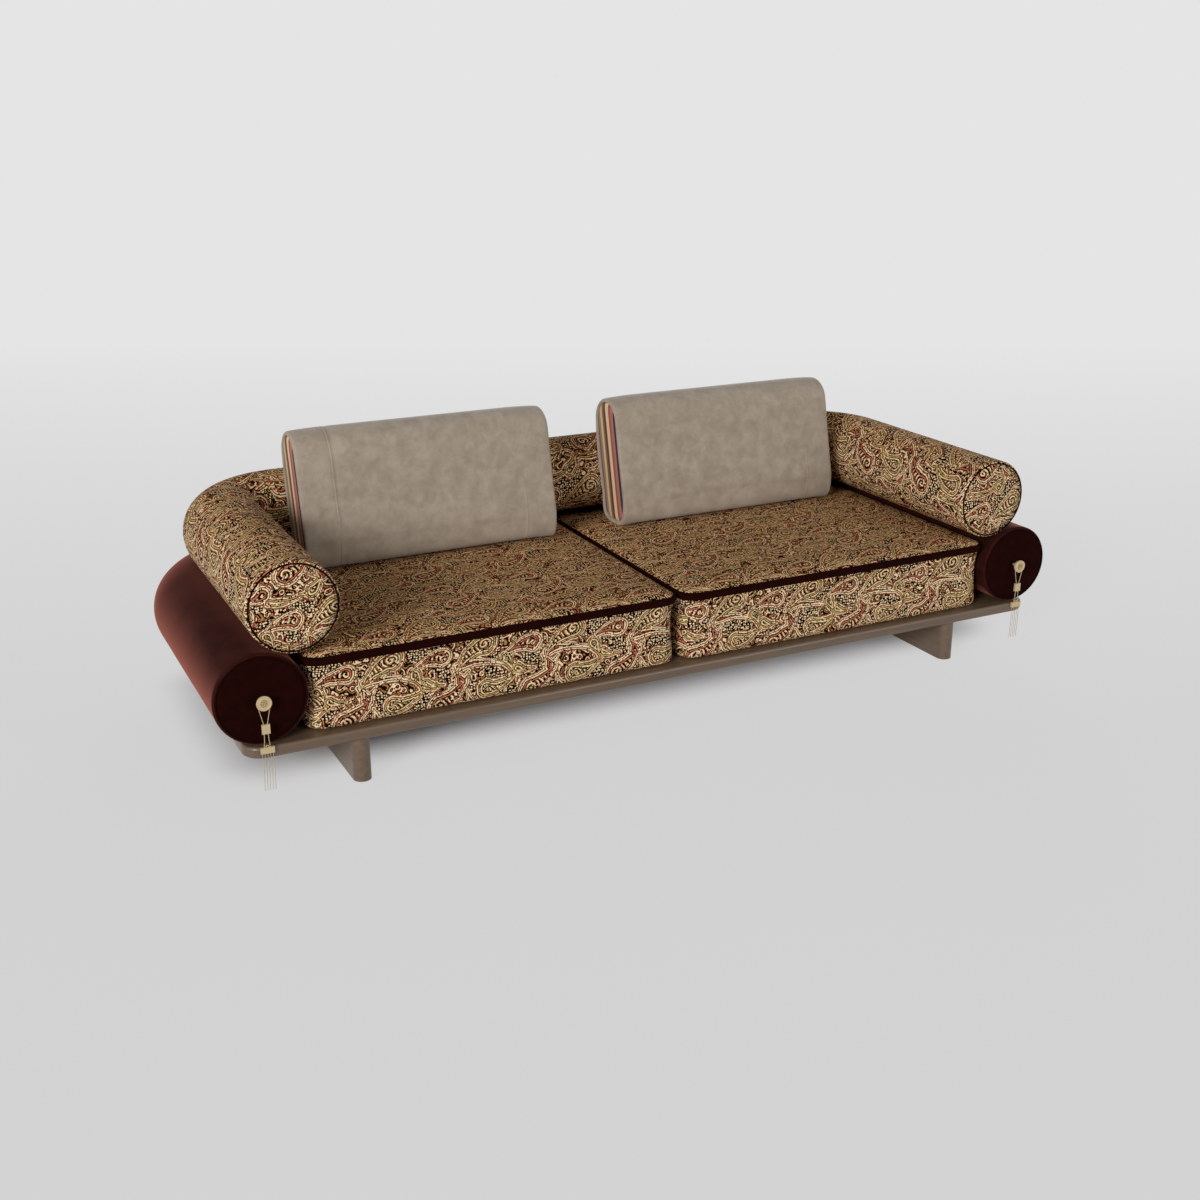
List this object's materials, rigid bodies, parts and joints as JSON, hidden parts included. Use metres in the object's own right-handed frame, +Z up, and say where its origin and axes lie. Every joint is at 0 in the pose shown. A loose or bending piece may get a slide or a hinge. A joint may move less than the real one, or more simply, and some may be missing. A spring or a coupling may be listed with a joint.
{
  "type": "sofa",
  "caption": "Low platform sofa: a lacquered board on panel legs, stacked U-shaped rolls as arms and back, loose seat cushions, leaning back cushions and hanging tassels.",
  "frame": {"origin": "on the floor, under the middle of the sofa's overall box", "axes": "+X to the right as the sofa is seen from its front, -Y to the front, where one sits down, +Z up"},
  "size_m": [2.7028, 1.181, 0.7936],
  "materials": {
    "lacquered_board": "satin lacquer, greige-brown",
    "lacquered_legs": "satin lacquer, greige-brown",
    "steel_frame": "black powder coat",
    "fasteners": "zinc plated",
    "brass_inserts": "machined",
    "glide_felt": "matt",
    "roll_foam": "open-cell foam",
    "velvet": "burgundy velvet, padded back",
    "velvet_ends": "dark burgundy velvet",
    "piping": "dark corded piping",
    "paisley": "woven paisley tapestry",
    "paisley_ends": "woven paisley tapestry",
    "end_boards": "raw plywood",
    "velvet_band": "dark burgundy velvet ribbon",
    "zip": "black moulded zip",
    "seat_foam": "dense cut foam",
    "suede": "greige suede",
    "striped_weave": "striped weave",
    "cushion_fill": "fibre filling",
    "button_relief": "embossed, beige gold",
    "cord_silk": "twisted viscose cord",
    "bead_relief": "embossed, beige gold",
    "thread_silk": "pale viscose thread"
  },
  "bodies": {
    "base": {"platform": "lacquered_board", "rails": "steel_frame", "rail_screws": "fasteners", "leg_left": "lacquered_legs", "leg_right": "lacquered_legs", "leg_bolts": "fasteners", "leg_inserts": "brass_inserts", "glides": "glide_felt", "posts": "steel_frame", "post_screws": "fasteners", "lower_frame": "steel_frame", "upper_frame": "steel_frame", "struts": "steel_frame", "lower_foam": "roll_foam", "lower_cover": "velvet", "lower_end_boards": "end_boards", "lower_end_panels": "velvet_ends", "lower_piping": "piping", "upper_foam": "roll_foam", "upper_cover": "paisley", "upper_end_boards": "end_boards", "upper_end_panels": "paisley_ends", "upper_piping": "piping", "button_left": "button_relief", "button_right": "button_relief"},
    "seat_left": {"seat_foam_left": "seat_foam", "seat_cover_left": "paisley", "seat_band_left": "velvet_band", "seat_zip_left": "zip"},
    "seat_right": {"seat_foam_right": "seat_foam", "seat_cover_right": "paisley", "seat_band_right": "velvet_band", "seat_zip_right": "zip"},
    "back_cushion_left": {"pad_wrap_left": "suede", "pad_core_left": "striped_weave", "pad_insert_left": "cushion_fill"},
    "back_cushion_right": {"pad_wrap_right": "suede", "pad_core_right": "striped_weave", "pad_insert_right": "cushion_fill"},
    "tassel_left": {"tassel_loop_left": "cord_silk", "tassel_bead_left": "bead_relief", "tassel_bar_left": "bead_relief", "tassel_threads_left": "thread_silk"},
    "tassel_right": {"tassel_loop_right": "cord_silk", "tassel_bead_right": "bead_relief", "tassel_bar_right": "bead_relief", "tassel_threads_right": "thread_silk"}
  },
  "joints": [
    {"name": "seat_left_slide", "type": "slide", "parent": "base", "child": "seat_left", "axis": [0, -1, 0], "range_m": [0, 0.25]},
    {"name": "back_cushion_left_lift", "type": "slide", "parent": "seat_left", "child": "back_cushion_left", "axis": [0, 0, 1], "range_m": [0, 0.25]},
    {"name": "tassel_left_swing", "type": "hinge", "parent": "base", "child": "tassel_left", "pos_m": [-1.2274, -0.5849, 0.283], "axis": [0, 1, 0], "range_deg": [-35, 35]},
    {"name": "seat_right_slide", "type": "slide", "parent": "base", "child": "seat_right", "axis": [0, -1, 0], "range_m": [0, 0.25]},
    {"name": "back_cushion_right_lift", "type": "slide", "parent": "seat_right", "child": "back_cushion_right", "axis": [0, 0, 1], "range_m": [0, 0.25]},
    {"name": "tassel_right_swing", "type": "hinge", "parent": "base", "child": "tassel_right", "pos_m": [1.2274, -0.5849, 0.283], "axis": [0, 1, 0], "range_deg": [-35, 35]}
  ]
}
